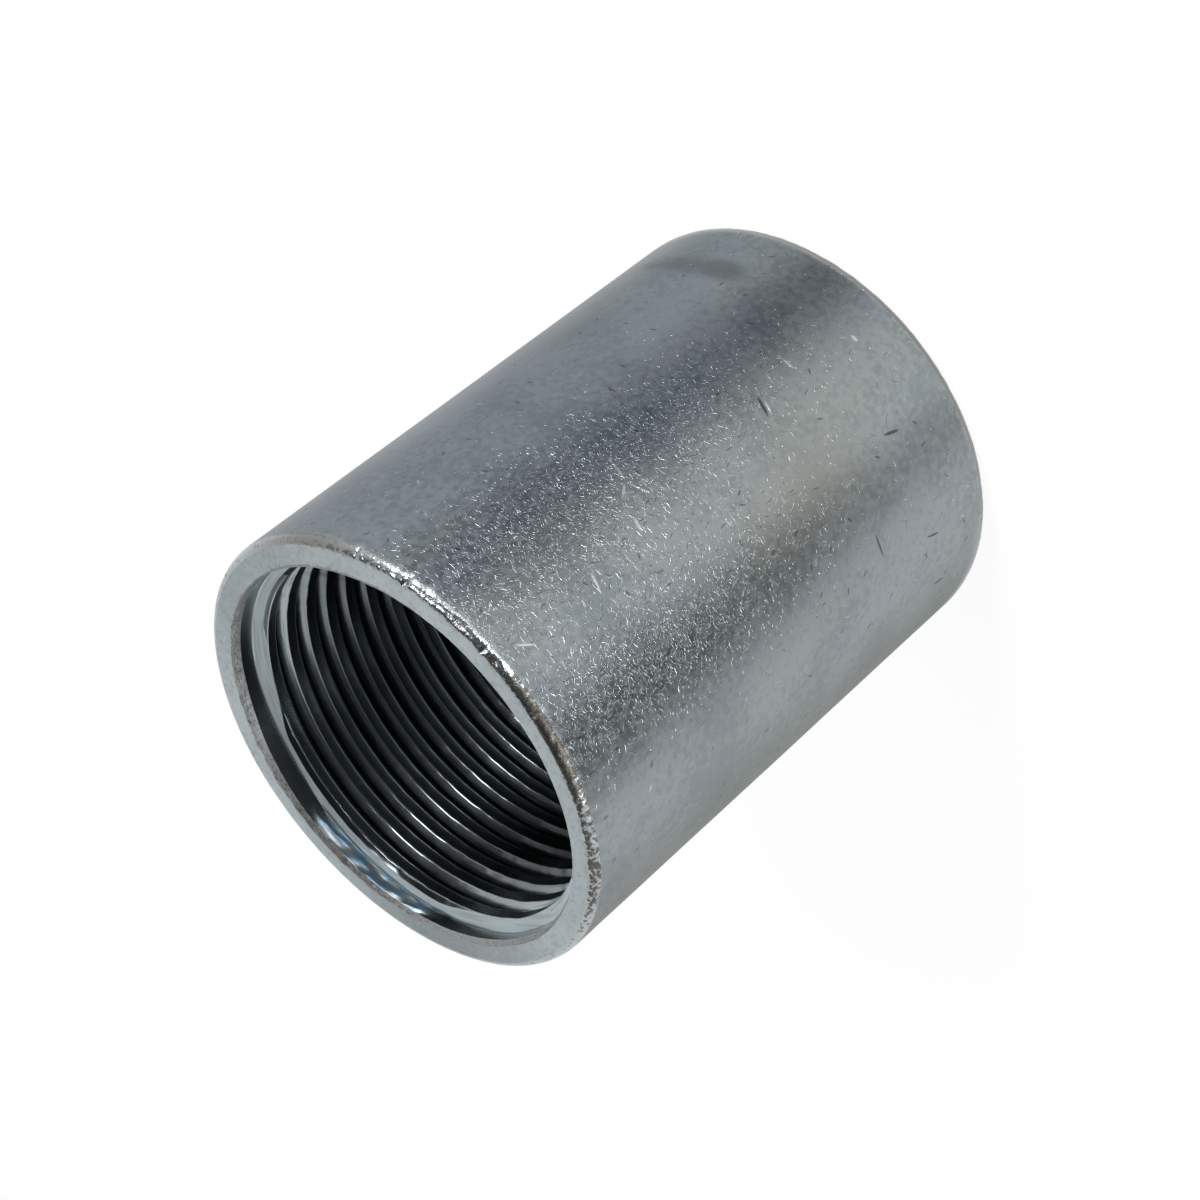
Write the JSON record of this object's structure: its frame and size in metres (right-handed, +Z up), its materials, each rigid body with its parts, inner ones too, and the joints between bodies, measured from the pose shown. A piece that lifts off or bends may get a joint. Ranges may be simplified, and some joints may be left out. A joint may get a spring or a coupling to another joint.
{
  "type": "rigid conduit coupling",
  "caption": "Straight steel conduit coupling: a short zinc-plated sleeve tapped right through, with a relieved, chamfered mouth at each end that takes threaded rigid conduit.",
  "frame": {"origin": "centre of the lower end face, on the surface the coupling stands on", "axes": "+Z up along the bore axis; X and Y across it"},
  "size_m": [0.0382, 0.038, 0.0494],
  "materials": {
    "zinc_plated_steel": "satin zinc plate with a faint blue passivation, scuffed outside and hammered at the rim"
  },
  "bodies": {
    "root": {"coupling_sleeve": "zinc_plated_steel"}
  },
  "joints": []
}
